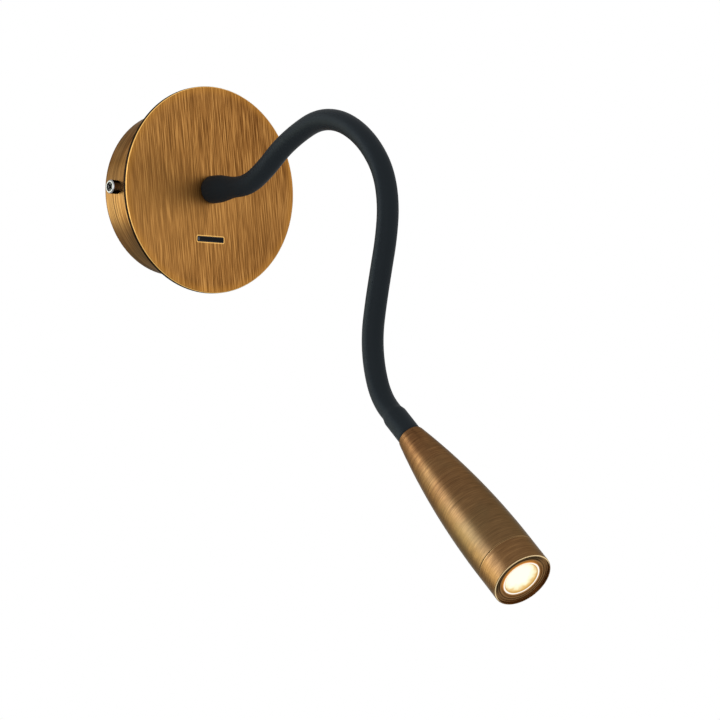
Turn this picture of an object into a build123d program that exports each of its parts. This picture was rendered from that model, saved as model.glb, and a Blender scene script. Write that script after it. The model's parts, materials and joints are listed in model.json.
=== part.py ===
from build123d import *

import os
from math import acos, asin, cos, degrees, radians, sin

os.makedirs("parts", exist_ok=True)

# Flexible wall lamp. The origin lies on the wall behind the middle of the drum. Y points into
# the wall, Z up, and X to the right for someone who faces the lamp. A depth is a distance out
# from the wall, so a point at depth d has Y = -d. All lengths are in millimetres.

# Clearances that several pieces share
close_gap = 0.05
easy_gap = 0.2
cut_over = 1.0

# Front plate and drum
plate_diameter = 100.0
plate_thickness = 2.0
plate_chamfer = 0.6
drum_diameter = 80.0
drum_depth = 30.0
drum_wall = 1.2
drum_rim_round = 0.3

# Wall bracket, a strip with two tabs that point out from the wall
bracket_thickness = 1.5
bracket_width = 18.0
bracket_end_gap = 1.3
tab_width = 12.0
tab_height = 15.0
tab_corner = 2.0
wall_slot_spacing = 52.0
wall_slot_length = 10.0
wall_slot_width = 4.5
cable_hole_diameter = 10.0
earth_place = 13.0

# Screws
side_screw_depth = 9.5
side_screw_shank = 4.0
side_screw_head = 6.7
side_screw_head_height = 4.0
side_screw_tip = 2.0
side_screw_chamfer = 0.5
side_screw_rim = 0.95
side_screw_dish = 0.45
cross_turn = 45.0
cross_width = 0.9
cross_span = 3.6
cross_depth = 1.4
plate_screw_spacing = 48.0
plate_screw_shank = 3.0
plate_screw_head = 5.6
plate_screw_head_height = 2.0
plate_screw_bite = 1.4

# Rocker switch
slot_drop = 24.0
slot_width = 15.8
slot_height = 2.8
slot_corner = 0.6
rocker_gap = 0.1
nose_wall = 0.4
housing_width = 20.0
housing_height = 8.0
housing_depth = 9.0
cavity_depth = 8.0
paddle_length = 13.9
paddle_width = 1.5
paddle_dish = 0.3
paddle_skirt = 1.2
paddle_heel = 3.0
paddle_heel_width = 4.0
pivot_drop = 4.2
pivot_pin = 1.2
pivot_pin_reach = 1.0
rest_tilt = -5.0
tab_blade_width = 2.8
tab_blade_thickness = 0.6
tab_blade_length = 6.0
tab_blade_spacing = 8.0

# Driver
driver_length = 38.0
driver_width = 21.0
driver_height = 16.0
driver_wall = 1.2
driver_clear = 2.4
board_thickness = 1.2
board_lift = 2.0
transformer_size = 9.0
capacitor_diameter = 7.0
part_height = 8.0

# Terminal block and earth
block_length = 20.0
block_width = 12.0
block_height = 11.0
block_place = -22.0
block_drop = 12.0
pole_spacing = 6.4
wire_hole_diameter = 3.0
clamp_screw_diameter = 3.2
clamp_screw_length = 2.8
clamp_slot = 0.6
wire_hole_lift = 6.0
earth_screw_head = 7.0
earth_screw_head_height = 2.4
earth_ring_diameter = 8.0
earth_ring_thickness = 0.8
earth_neck_width = 3.0
earth_barrel_diameter = 3.2
earth_barrel_bore = 1.8
earth_barrel_length = 6.0
earth_barrel_place = 5.0

# Wires inside the drum
wire_diameter = 1.8
wire_bend = 2.5

# Neck: a wound steel core in a rubber sleeve, with a two-core lead through its middle
sleeve_diameter = 10.0
core_diameter = 7.9
core_bore = 4.2
lead_diameter = 3.6
link_length = 30.0
joint_gap = 0.3
base_stub = 22.0
head_stub = 20.0
# Turn of each half link from the plate to the head, in degrees, positive upwards
half_link_turns = [26.8, 9.6, -10.6, -7.5, -22.1, -19.0, -14.9, -15.8,
                   -23.2, -18.5, -8.5, 0.8, 3.3, 16.7, 15.5, 28.4]

# Ends of the neck
base_thread_diameter = 10.0
base_thread_spare = 1.5
base_ferrule_diameter = 11.6
base_ferrule_length = 8.5
base_taper = 9.0
base_sleeve_wall = 0.85
head_ferrule_diameter = 9.6
head_ferrule_length = 15.0
head_taper = 2.5
head_sleeve_wall = 0.85
socket_floor = 2.0
sleeve_end_gap = 0.2
nut_flats = 14.0
nut_thickness = 4.0
washer_diameter = 16.0
washer_thickness = 0.8

# Head: a bullet-shaped shell, straight over the barrel's length, and a front ring
head_length = 99.0
head_diameter = 27.9
shell_neck_diameter = 12.6
barrel_length = 17.0
front_ring_length = 13.0
groove_chamfer = 0.3
neck_edge_round = 0.3
thread_bore_diameter = 8.0
thread_bore_length = 14.0
lead_bore_diameter = 13.0
lead_bore_end = 34.0
mid_bore_diameter = 20.0
front_bore_length = 39.0
front_bore_diameter = 24.0
ring_bore_diameter = 21.2
rim_round = 0.4
rim_lip = 0.65
rim_recess = 0.9
aperture_diameter = 18.0
aperture_lip = 1.1
face_groove_count = 3
face_groove_width = 0.35
face_groove_depth = 0.25
heat_sink_length = 16.0
heat_sink_groove = 1.2
heat_sink_bore = 4.6
led_board_diameter = 20.4
led_board_thickness = 1.6
emitter_size = 5.0
emitter_height = 0.8
board_screw_circle = 15.2
board_screw_shank = 2.4
board_screw_head = 4.2
board_screw_head_height = 1.5
board_screw_bite = 5.0
reflector_throat = 7.4
reflector_mouth = 19.0
reflector_wall = 1.0
reflector_flange = 2.0
lens_flange_thickness = 1.5
lens_step = 0.85
lens_rim_width = 0.85
lens_dish = 0.45
lens_crown = 0.4

# Worked out from the sizes above
plate_radius = plate_diameter / 2
drum_radius = drum_diameter / 2
drum_inner_radius = drum_radius - drum_wall
drum_inner_depth = drum_depth - drum_wall
front_depth = drum_depth + plate_thickness
bracket_reach = drum_inner_radius - bracket_end_gap
sleeve_radius = sleeve_diameter / 2
core_radius = core_diameter / 2
core_bore_radius = core_bore / 2
lead_radius = lead_diameter / 2
sleeve_bore_radius = core_radius + close_gap
socket_radius = core_radius + close_gap
lead_hole_radius = lead_radius + easy_gap
base_thread_radius = base_thread_diameter / 2
base_ferrule_radius = base_ferrule_diameter / 2
head_ferrule_radius = head_ferrule_diameter / 2
link_count = len(half_link_turns) // 2
shell_length = head_length - front_ring_length
taper_length = head_length - barrel_length
mid_bore_end = head_length - front_bore_length
head_radius = head_diameter / 2


def out(depth):
    """Plane parallel to the wall, facing the room, at this depth."""
    return Plane.XZ.offset(depth)


# Neck and head lie in the plane X = 0. In neck_plane the first coordinate is the depth and the
# second is the height, so a heading of 0 points straight out from the wall.
neck_plane = Plane(origin=(0, 0, 0), x_dir=(0, -1, 0), z_dir=(-1, 0, 0))


def along(point, heading):
    """Plane X = 0 with its first axis along a heading, from a point given as depth and height."""
    direction = (0, -cos(radians(heading)), sin(radians(heading)))
    return Plane(origin=(0, -point[0], point[1]), x_dir=direction, z_dir=(-1, 0, 0))


def turning_axis(plane):
    """Axis of a turned piece whose outline is drawn on a plane made by along()."""
    return Axis(plane.origin, plane.x_dir)


def arc_end(point, heading, length, turn):
    """Where an arc of this length and turn ends, and its heading there."""
    radius = length / radians(turn)
    start, end = radians(heading), radians(heading + turn)
    depth = point[0] + radius * (sin(end) - sin(start))
    height = point[1] - radius * (cos(end) - cos(start))
    return (depth, height), heading + turn


# Stations of the neck: a pivot at each end of each link, and the point halfway along the link
stations = [((front_depth + base_stub, 0), 0)]
for half_turn in half_link_turns:
    stations.append(arc_end(*stations[-1], link_length / 2, half_turn))
pivots = stations[::2]

base_plane = along((front_depth, 0), 0)
last_pivot, head_heading = pivots[-1]
head_start = (last_pivot[0] + head_stub * cos(radians(head_heading)),
              last_pivot[1] + head_stub * sin(radians(head_heading)))
head_plane = along(head_start, head_heading)


# Wall bracket
with BuildPart() as wall_bracket:
    with BuildSketch(Plane.XZ):
        Rectangle(2 * bracket_reach, bracket_width)
    extrude(amount=bracket_thickness)
    with BuildSketch(Plane.YZ.offset(bracket_reach)):
        with Locations((-tab_height / 2, 0)):
            Rectangle(tab_height, tab_width)
    extrude(amount=-bracket_thickness)
    mirror(about=Plane.YZ)
    tab_tips = wall_bracket.edges().filter_by(Axis.X).group_by(Axis.Y)[0]
    fillet(tab_tips, radius=tab_corner)
    with BuildSketch(Plane.XZ):
        Circle(cable_hole_diameter / 2)
        with Locations((earth_place, 0)):
            Circle(side_screw_shank / 2 + close_gap)
        with GridLocations(wall_slot_spacing, 0, 2, 1):
            SlotOverall(wall_slot_length, wall_slot_width)
    extrude(amount=bracket_thickness, mode=Mode.SUBTRACT)
    with BuildSketch(Plane.YZ.offset(-bracket_reach)):
        with Locations((-side_screw_depth, 0)):
            Circle(side_screw_shank / 2 + close_gap)
    extrude(amount=2 * bracket_reach, mode=Mode.SUBTRACT)
wall_bracket.part.label = "wall_bracket"
export_step(wall_bracket.part, "parts/wall_bracket.step")

# Side screws, which hold the drum on the bracket's tabs
with BuildPart() as side_screws:
    with BuildSketch(Plane.YZ.offset(drum_radius + close_gap)):
        with Locations((-side_screw_depth, 0)):
            Circle(side_screw_head / 2)
    extrude(amount=side_screw_head_height)
    chamfer(side_screws.edges().sort_by(Axis.X)[-1], length=side_screw_chamfer)
    with BuildSketch(Plane.YZ.offset(bracket_reach - bracket_thickness - side_screw_tip)):
        with Locations((-side_screw_depth, 0)):
            Circle(side_screw_shank / 2)
    extrude(until=Until.NEXT)
    with BuildSketch(Plane.YZ.offset(drum_radius + close_gap + side_screw_head_height)):
        with Locations((-side_screw_depth, 0)):
            Rectangle(cross_span, cross_width, rotation=cross_turn)
            Rectangle(cross_width, cross_span, rotation=cross_turn)
    extrude(amount=-cross_depth, mode=Mode.SUBTRACT)
    with BuildSketch(Plane.YZ.offset(drum_radius + close_gap + side_screw_head_height)):
        with Locations((-side_screw_depth, 0)):
            Circle(side_screw_head / 2 - side_screw_rim)
    extrude(amount=-side_screw_dish, mode=Mode.SUBTRACT)
    mirror(about=Plane.YZ)
side_screws.part.label = "side_screws"
export_step(side_screws.part, "parts/side_screws.step")

# Drum
with BuildPart() as canopy_drum:
    with BuildSketch(Plane.XZ):
        Circle(drum_radius)
    extrude(amount=drum_depth)
    fillet(canopy_drum.edges().sort_by(Axis.Y)[-1], radius=drum_rim_round)
    with BuildSketch(Plane.XZ):
        Circle(drum_inner_radius)
    extrude(amount=drum_inner_depth, mode=Mode.SUBTRACT)
    with BuildSketch(out(drum_inner_depth)):
        Circle(base_thread_radius + easy_gap)
        with GridLocations(plate_screw_spacing, 0, 2, 1):
            Circle(plate_screw_shank / 2 + easy_gap)
        with Locations((0, -slot_drop)):
            RectangleRounded(slot_width, slot_height, slot_corner)
    extrude(amount=drum_wall, mode=Mode.SUBTRACT)
    with BuildSketch(Plane.YZ.offset(-drum_radius - cut_over)):
        with Locations((-side_screw_depth, 0)):
            Circle(side_screw_shank / 2 + easy_gap)
    extrude(amount=2 * (drum_radius + cut_over), mode=Mode.SUBTRACT)
canopy_drum.part.label = "canopy_drum"
export_step(canopy_drum.part, "parts/canopy_drum.step")

# Front plate
with BuildPart() as front_plate:
    with BuildSketch(out(drum_depth)):
        Circle(plate_radius)
    extrude(amount=plate_thickness)
    chamfer(front_plate.edges().filter_by(GeomType.CIRCLE).sort_by(Axis.Y)[0], length=plate_chamfer)
    with BuildSketch(out(drum_depth)):
        Circle(base_thread_radius + easy_gap)
        with Locations((0, -slot_drop)):
            RectangleRounded(slot_width, slot_height, slot_corner)
    extrude(amount=plate_thickness, mode=Mode.SUBTRACT)
    with BuildSketch(out(drum_depth)):
        with GridLocations(plate_screw_spacing, 0, 2, 1):
            Circle(plate_screw_shank / 2 + close_gap)
    extrude(amount=plate_screw_bite, mode=Mode.SUBTRACT)
front_plate.part.label = "front_plate"
export_step(front_plate.part, "parts/front_plate.step")

# Plate screws, driven from inside the drum
with BuildPart() as plate_screws:
    with BuildSketch(out(drum_inner_depth)):
        with GridLocations(plate_screw_spacing, 0, 2, 1):
            Circle(plate_screw_head / 2)
    extrude(amount=-plate_screw_head_height)
    fillet(plate_screws.edges().group_by(Axis.Y)[-1], radius=plate_screw_head_height / 2)
    with BuildSketch(out(drum_inner_depth)):
        with GridLocations(plate_screw_spacing, 0, 2, 1):
            Circle(plate_screw_shank / 2)
    extrude(amount=drum_wall + plate_screw_bite - close_gap)
    with BuildSketch(out(drum_inner_depth - plate_screw_head_height)):
        with GridLocations(plate_screw_spacing, 0, 2, 1):
            Rectangle(plate_screw_shank, cross_width)
            Rectangle(cross_width, plate_screw_shank)
    extrude(amount=plate_screw_head_height / 2, mode=Mode.SUBTRACT)
plate_screws.part.label = "plate_screws"
export_step(plate_screws.part, "parts/plate_screws.step")

# Rocker housing: a nose that fills the slot and a wider body behind the drum's front wall
nose_width = slot_width - 2 * rocker_gap
nose_height = slot_height - 2 * rocker_gap
cavity_width = nose_width - 2 * nose_wall
cavity_height = nose_height - 2 * nose_wall
pivot_depth = front_depth - pivot_drop
with BuildPart() as rocker_housing:
    with BuildSketch(out(drum_inner_depth)):
        with Locations((0, -slot_drop)):
            RectangleRounded(nose_width, nose_height, slot_corner - rocker_gap)
    extrude(amount=drum_wall + plate_thickness)
    with BuildSketch(out(drum_inner_depth)):
        with Locations((0, -slot_drop)):
            Rectangle(housing_width, housing_height)
    extrude(amount=-housing_depth)
    with BuildSketch(out(front_depth)):
        with Locations((0, -slot_drop)):
            Rectangle(cavity_width, cavity_height)
    extrude(amount=-cavity_depth, mode=Mode.SUBTRACT)
    with BuildSketch(Plane.XY.offset(-slot_drop - cavity_height / 2 - pivot_pin_reach - easy_gap)):
        with Locations((0, -pivot_depth)):
            Circle(pivot_pin / 2 + close_gap)
    extrude(amount=cavity_height + 2 * (pivot_pin_reach + easy_gap), mode=Mode.SUBTRACT)
rocker_housing.part.label = "rocker_housing"
export_step(rocker_housing.part, "parts/rocker_housing.step")

# Rocker paddle on its own pin, at rest with its right end proud of the slot
paddle_plane = Plane(origin=(0, -pivot_depth, -slot_drop),
                     x_dir=(cos(radians(rest_tilt)), sin(radians(rest_tilt)), 0),
                     z_dir=(0, 0, 1))
with BuildPart() as rocker_paddle:
    with BuildSketch(paddle_plane):
        with BuildLine():
            ThreePointArc((-paddle_length / 2, -pivot_drop), (0, paddle_dish - pivot_drop),
                          (paddle_length / 2, -pivot_drop))
            Polyline((paddle_length / 2, -pivot_drop), (paddle_length / 2, paddle_skirt),
                     (paddle_heel_width / 2, paddle_heel), (-paddle_heel_width / 2, paddle_heel),
                     (-paddle_length / 2, paddle_skirt), (-paddle_length / 2, -pivot_drop))
        make_face()
    extrude(amount=paddle_width / 2, both=True)
    with BuildSketch(paddle_plane):
        Circle(pivot_pin / 2)
    extrude(amount=cavity_height / 2 + pivot_pin_reach, both=True)
rocker_paddle.part.label = "rocker_paddle"
export_step(rocker_paddle.part, "parts/rocker_paddle.step")

# Switch tabs
housing_back = drum_inner_depth - housing_depth
with BuildPart() as switch_tabs:
    with BuildSketch(out(housing_back)):
        with Locations((0, -slot_drop)):
            with GridLocations(tab_blade_spacing, 0, 2, 1):
                Rectangle(tab_blade_thickness, tab_blade_width)
    extrude(amount=-tab_blade_length)
switch_tabs.part.label = "switch_tabs"
export_step(switch_tabs.part, "parts/switch_tabs.step")

# Driver, stuck to the inside of the drum's front wall above the neck nut
nut_corner_radius = nut_flats / 2 / cos(radians(30))
driver_middle = nut_corner_radius + driver_clear + driver_width / 2
driver_back = drum_inner_depth - driver_height
with BuildPart() as driver_case:
    with BuildSketch(out(drum_inner_depth)):
        with Locations((0, driver_middle)):
            Rectangle(driver_length, driver_width)
    extrude(amount=-(driver_height - driver_wall))
    with BuildSketch(out(driver_back + driver_wall)):
        with Locations((0, driver_middle)):
            Rectangle(driver_length - 2 * driver_wall, driver_width - 2 * driver_wall)
    extrude(amount=driver_height - 2 * driver_wall, mode=Mode.SUBTRACT)
driver_case.part.label = "driver_case"
export_step(driver_case.part, "parts/driver_case.step")

with BuildPart() as driver_cover:
    with BuildSketch(out(driver_back)):
        with Locations((0, driver_middle)):
            Rectangle(driver_length, driver_width)
    extrude(amount=driver_wall)
    with BuildSketch(out(driver_back + driver_wall)):
        with Locations((0, driver_middle)):
            Rectangle(driver_length - 2 * (driver_wall + easy_gap),
                      driver_width - 2 * (driver_wall + easy_gap))
    extrude(amount=board_lift - easy_gap)
driver_cover.part.label = "driver_cover"
export_step(driver_cover.part, "parts/driver_cover.step")

with BuildPart() as driver_board:
    with BuildSketch(out(driver_back + driver_wall + board_lift)):
        with Locations((0, driver_middle)):
            Rectangle(driver_length - 2 * (driver_wall + easy_gap),
                      driver_width - 2 * (driver_wall + easy_gap))
    extrude(amount=board_thickness)
    with BuildSketch(out(driver_back + driver_wall + board_lift + board_thickness)):
        with Locations((0, driver_middle)):
            Rectangle(transformer_size, transformer_size)
            with GridLocations(driver_length / 2, 0, 2, 1):
                Circle(capacitor_diameter / 2)
    extrude(amount=part_height)
driver_board.part.label = "driver_board"
export_step(driver_board.part, "parts/driver_board.step")

# Terminal block and its clamp screws, which face the wall
block_back = drum_inner_depth - block_height
wire_hole_depth = drum_inner_depth - wire_hole_lift
clamp_floor = wire_hole_depth - wire_hole_diameter / 2
with BuildPart() as terminal_block:
    with BuildSketch(out(block_back)):
        with Locations((block_place, -block_drop)):
            Rectangle(block_length, block_width)
    extrude(amount=block_height)
    with BuildSketch(Plane.XY.offset(-block_drop - block_width / 2)):
        with Locations((block_place, -wire_hole_depth)):
            with GridLocations(pole_spacing, 0, 3, 1):
                Circle(wire_hole_diameter / 2)
    extrude(amount=block_width, mode=Mode.SUBTRACT)
    with BuildSketch(out(block_back)):
        with Locations((block_place, -block_drop)):
            with GridLocations(pole_spacing, 0, 3, 1):
                Circle(clamp_screw_diameter / 2 + close_gap)
    extrude(amount=clamp_floor - block_back, mode=Mode.SUBTRACT)
terminal_block.part.label = "terminal_block"
export_step(terminal_block.part, "parts/terminal_block.step")

with BuildPart() as terminal_screws:
    with BuildSketch(out(clamp_floor - clamp_screw_length)):
        with Locations((block_place, -block_drop)):
            with GridLocations(pole_spacing, 0, 3, 1):
                Circle(clamp_screw_diameter / 2)
    extrude(amount=clamp_screw_length)
    with BuildSketch(out(clamp_floor - clamp_screw_length)):
        with Locations((block_place, -block_drop)):
            with GridLocations(pole_spacing, 0, 3, 1):
                Rectangle(clamp_screw_diameter, clamp_slot)
    extrude(amount=clamp_slot, mode=Mode.SUBTRACT)
terminal_screws.part.label = "terminal_screws"
export_step(terminal_screws.part, "parts/terminal_screws.step")

# Earth tag and screw on the bracket
tag_depth = bracket_thickness + earth_ring_thickness
barrel_depth = bracket_thickness + earth_barrel_diameter / 2
barrel_start = earth_ring_diameter / 2 + earth_barrel_place
with BuildPart() as earth_tag:
    with BuildSketch(out(bracket_thickness)):
        with Locations((earth_place, 0)):
            Circle(earth_ring_diameter / 2)
        with Locations((earth_place, barrel_start / 2)):
            Rectangle(earth_neck_width, barrel_start)
    extrude(amount=earth_ring_thickness)
    with BuildSketch(Plane.XY.offset(barrel_start)):
        with Locations((earth_place, -barrel_depth)):
            Circle(earth_barrel_diameter / 2)
    extrude(amount=earth_barrel_length)
    with BuildSketch(out(bracket_thickness)):
        with Locations((earth_place, 0)):
            Circle(side_screw_shank / 2 + easy_gap)
    extrude(amount=earth_ring_thickness, mode=Mode.SUBTRACT)
    with BuildSketch(Plane.XY.offset(barrel_start + earth_barrel_bore)):
        with Locations((earth_place, -barrel_depth)):
            Circle(earth_barrel_bore / 2)
    extrude(amount=earth_barrel_length, mode=Mode.SUBTRACT)
earth_tag.part.label = "earth_tag"
export_step(earth_tag.part, "parts/earth_tag.step")

with BuildPart() as earth_screw:
    with BuildSketch(out(tag_depth)):
        with Locations((earth_place, 0)):
            Circle(earth_screw_head / 2)
    extrude(amount=earth_screw_head_height)
    fillet(earth_screw.edges().sort_by(Axis.Y)[0], radius=earth_screw_head_height / 2)
    with BuildSketch(Plane.XZ):
        with Locations((earth_place, 0)):
            Circle(side_screw_shank / 2)
    extrude(amount=tag_depth)
    with BuildSketch(out(tag_depth + earth_screw_head_height)):
        with Locations((earth_place, 0)):
            Rectangle(cross_span, cross_width)
            Rectangle(cross_width, cross_span)
    extrude(amount=-earth_screw_head_height / 2, mode=Mode.SUBTRACT)
earth_screw.part.label = "earth_screw"
export_step(earth_screw.part, "parts/earth_screw.step")

# Wires inside the drum, each on straight runs joined by arcs
tab_end_depth = housing_back - tab_blade_length
wire_turn_depth = tab_end_depth - 2 * wire_bend
side_lane = driver_length / 2 + 3 * wire_bend
block_low = -block_drop - block_width / 2
block_high = -block_drop + block_width / 2
wire_routes = {
    "live_wire": [(block_place + pole_spacing, -wire_hole_depth, block_low),
                  (block_place + pole_spacing, -wire_hole_depth, block_low - 4 * wire_bend),
                  (block_place + pole_spacing, -wire_turn_depth, block_low - 4 * wire_bend),
                  (-tab_blade_spacing / 2, -wire_turn_depth, -slot_drop),
                  (-tab_blade_spacing / 2, -tab_end_depth, -slot_drop)],
    "neutral_wire": [(block_place - pole_spacing, -wire_hole_depth, block_high),
                     (block_place - pole_spacing, -wire_hole_depth, driver_middle),
                     (-driver_length / 2, -wire_hole_depth, driver_middle)],
    "switch_wire": [(tab_blade_spacing / 2, -tab_end_depth, -slot_drop),
                    (tab_blade_spacing / 2, -wire_turn_depth, -slot_drop),
                    (side_lane, -wire_turn_depth, -slot_drop / 2),
                    (side_lane, -wire_hole_depth, 0),
                    (side_lane, -wire_hole_depth, driver_middle),
                    (driver_length / 2, -wire_hole_depth, driver_middle)],
}
for wire_name, route in wire_routes.items():
    with BuildPart() as wire:
        with BuildLine() as wire_path:
            FilletPolyline(*route, radius=wire_bend)
        with BuildSketch(Plane(origin=wire_path.line @ 0, z_dir=wire_path.line % 0)):
            Circle(wire_diameter / 2)
        sweep()
    wire.part.label = wire_name
    export_step(wire.part, f"parts/{wire_name}.step")

# Base fitting of the neck, clamped through plate and drum by a washer and a nut
stack_depth = plate_thickness + drum_wall + washer_thickness + nut_thickness
with BuildPart() as neck_base_fitting:
    with BuildSketch(base_plane):
        with BuildLine():
            Polyline((-stack_depth - base_thread_spare, lead_hole_radius),
                     (-stack_depth - base_thread_spare, base_thread_radius),
                     (0, base_thread_radius), (0, base_ferrule_radius),
                     (base_ferrule_length, base_ferrule_radius),
                     (base_ferrule_length, socket_radius), (socket_floor, socket_radius),
                     (socket_floor, lead_hole_radius), close=True)
        make_face()
    revolve(axis=turning_axis(base_plane))
neck_base_fitting.part.label = "neck_base_fitting"
export_step(neck_base_fitting.part, "parts/neck_base_fitting.step")

washer_face = drum_inner_depth - washer_thickness
with BuildPart() as neck_lock_washer:
    with BuildSketch(out(washer_face)):
        Circle(washer_diameter / 2)
        Circle(base_thread_radius + easy_gap, mode=Mode.SUBTRACT)
    extrude(amount=washer_thickness)
neck_lock_washer.part.label = "neck_lock_washer"
export_step(neck_lock_washer.part, "parts/neck_lock_washer.step")

with BuildPart() as neck_nut:
    with BuildSketch(out(washer_face - nut_thickness)):
        RegularPolygon(nut_flats / 2, 6, major_radius=False)
        Circle(base_thread_radius + close_gap, mode=Mode.SUBTRACT)
    extrude(amount=nut_thickness)
neck_nut.part.label = "neck_nut"
export_step(neck_nut.part, "parts/neck_nut.step")


def rounded_end(plane, outer, inner):
    """Half section of the ball-shaped end of a tube, about the pivot at the plane's origin."""
    with BuildSketch(plane) as half_section:
        Circle(sleeve_radius)
        with Locations((sleeve_radius / 2, (outer + inner) / 2)):
            Rectangle(sleeve_radius, outer - inner, mode=Mode.INTERSECT)
    return half_section.sketch


# Sleeve and core on the base fitting, up to the first pivot
first_pivot_plane = along(*pivots[0])
base_outer_radius = base_ferrule_radius + close_gap + base_sleeve_wall
base_taper_end = base_ferrule_length + base_taper
with BuildPart() as neck_sleeve_base:
    with BuildSketch(base_plane):
        with BuildLine():
            Polyline((sleeve_end_gap, base_ferrule_radius + close_gap),
                     (sleeve_end_gap, base_outer_radius),
                     (base_ferrule_length, base_outer_radius), (base_taper_end, sleeve_radius),
                     (base_stub, sleeve_radius), (base_stub, sleeve_bore_radius),
                     (base_taper_end, sleeve_bore_radius),
                     (base_ferrule_length + close_gap, base_ferrule_radius + close_gap),
                     close=True)
        make_face()
    revolve(axis=turning_axis(base_plane))
    revolve(rounded_end(first_pivot_plane, sleeve_radius, sleeve_bore_radius),
            axis=turning_axis(first_pivot_plane))
neck_sleeve_base.part.label = "neck_sleeve_base"
export_step(neck_sleeve_base.part, "parts/neck_sleeve_base.step")

with BuildPart() as neck_core_base:
    with BuildSketch(base_plane):
        with Locations(((socket_floor + base_stub) / 2, (core_radius + core_bore_radius) / 2)):
            Rectangle(base_stub - socket_floor, core_radius - core_bore_radius)
    revolve(axis=turning_axis(base_plane))
    revolve(rounded_end(first_pivot_plane, core_radius, core_bore_radius),
            axis=turning_axis(first_pivot_plane))
neck_core_base.part.label = "neck_core_base"
export_step(neck_core_base.part, "parts/neck_core_base.step")

# Lead from the driver into the neck
lead_turn_depth = front_depth - stack_depth - base_thread_spare - lead_diameter
with BuildPart() as output_lead:
    with BuildLine() as output_path:
        FilletPolyline((0, -front_depth - base_stub, 0), (0, -lead_turn_depth, 0),
                       (0, -lead_turn_depth, driver_middle - driver_width / 2),
                       radius=lead_diameter)
    with BuildSketch(Plane(origin=output_path.line @ 0, z_dir=output_path.line % 0)):
        Circle(lead_radius)
    sweep()
    revolve(rounded_end(first_pivot_plane, lead_radius, 0), axis=turning_axis(first_pivot_plane))
output_lead.part.label = "output_lead"
export_step(output_lead.part, "parts/output_lead.step")

# Links of the neck. Each ends in a ball about its far pivot and starts in a hollow about its
# near one, so that it can turn there with an even gap.
neck_layers = {
    "neck_sleeve": (sleeve_radius, sleeve_bore_radius),
    "neck_core": (core_radius, core_bore_radius),
    "neck_lead": (lead_radius, 0),
}
for link in range(link_count):
    start_point, start_heading = stations[2 * link]
    middle_point, middle_heading = stations[2 * link + 1]
    end_plane = along(*pivots[link + 1])
    start_turn, end_turn = half_link_turns[2 * link], half_link_turns[2 * link + 1]
    for layer, (outer, inner) in neck_layers.items():
        with BuildPart() as piece:
            with BuildLine(neck_plane) as link_path:
                JernArc(start_point, (cos(radians(start_heading)), sin(radians(start_heading))),
                        link_length / 2 / radians(abs(start_turn)), start_turn)
                JernArc(middle_point, (cos(radians(middle_heading)), sin(radians(middle_heading))),
                        link_length / 2 / radians(abs(end_turn)), end_turn)
            with BuildSketch(Plane(origin=link_path.line @ 0, z_dir=link_path.line % 0)):
                Circle(outer)
                if inner > 0:
                    Circle(inner, mode=Mode.SUBTRACT)
            sweep()
            revolve(rounded_end(end_plane, outer, inner), axis=turning_axis(end_plane))
            with Locations(along(start_point, start_heading)):
                Sphere(sleeve_radius + joint_gap, mode=Mode.SUBTRACT)
        piece.part.label = f"{layer}_{link + 1}"
        export_step(piece.part, f"parts/{layer}_{link + 1}.step")

# Sleeve, core and fitting at the head. In head_plane zero is the shell's narrow end.
head_outer_radius = head_ferrule_radius + close_gap + head_sleeve_wall
head_taper_start = -head_ferrule_length - head_taper
with BuildPart() as neck_sleeve_head:
    with BuildSketch(head_plane):
        with BuildLine():
            Polyline((-head_stub, sleeve_bore_radius), (-head_stub, sleeve_radius),
                     (head_taper_start, sleeve_radius),
                     (-head_ferrule_length, head_outer_radius),
                     (-sleeve_end_gap, head_outer_radius),
                     (-sleeve_end_gap, head_ferrule_radius + close_gap),
                     (-head_ferrule_length - close_gap, head_ferrule_radius + close_gap),
                     (head_taper_start, sleeve_bore_radius), close=True)
        make_face()
        with Locations((-head_stub, 0)):
            Circle(sleeve_radius + joint_gap, mode=Mode.SUBTRACT)
    revolve(axis=turning_axis(head_plane))
neck_sleeve_head.part.label = "neck_sleeve_head"
export_step(neck_sleeve_head.part, "parts/neck_sleeve_head.step")

with BuildPart() as neck_core_head:
    with BuildSketch(head_plane):
        with Locations((-(head_stub + socket_floor) / 2, (core_radius + core_bore_radius) / 2)):
            Rectangle(head_stub - socket_floor, core_radius - core_bore_radius)
        with Locations((-head_stub, 0)):
            Circle(sleeve_radius + joint_gap, mode=Mode.SUBTRACT)
    revolve(axis=turning_axis(head_plane))
neck_core_head.part.label = "neck_core_head"
export_step(neck_core_head.part, "parts/neck_core_head.step")

head_thread_radius = thread_bore_diameter / 2 - close_gap
with BuildPart() as head_fitting:
    with BuildSketch(head_plane):
        with BuildLine():
            Polyline((-head_ferrule_length, socket_radius),
                     (-head_ferrule_length, head_ferrule_radius), (0, head_ferrule_radius),
                     (0, head_thread_radius), (thread_bore_length, head_thread_radius),
                     (thread_bore_length, lead_hole_radius), (-socket_floor, lead_hole_radius),
                     (-socket_floor, socket_radius), close=True)
        make_face()
    revolve(axis=turning_axis(head_plane))
head_fitting.part.label = "head_fitting"
export_step(head_fitting.part, "parts/head_fitting.step")

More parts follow.
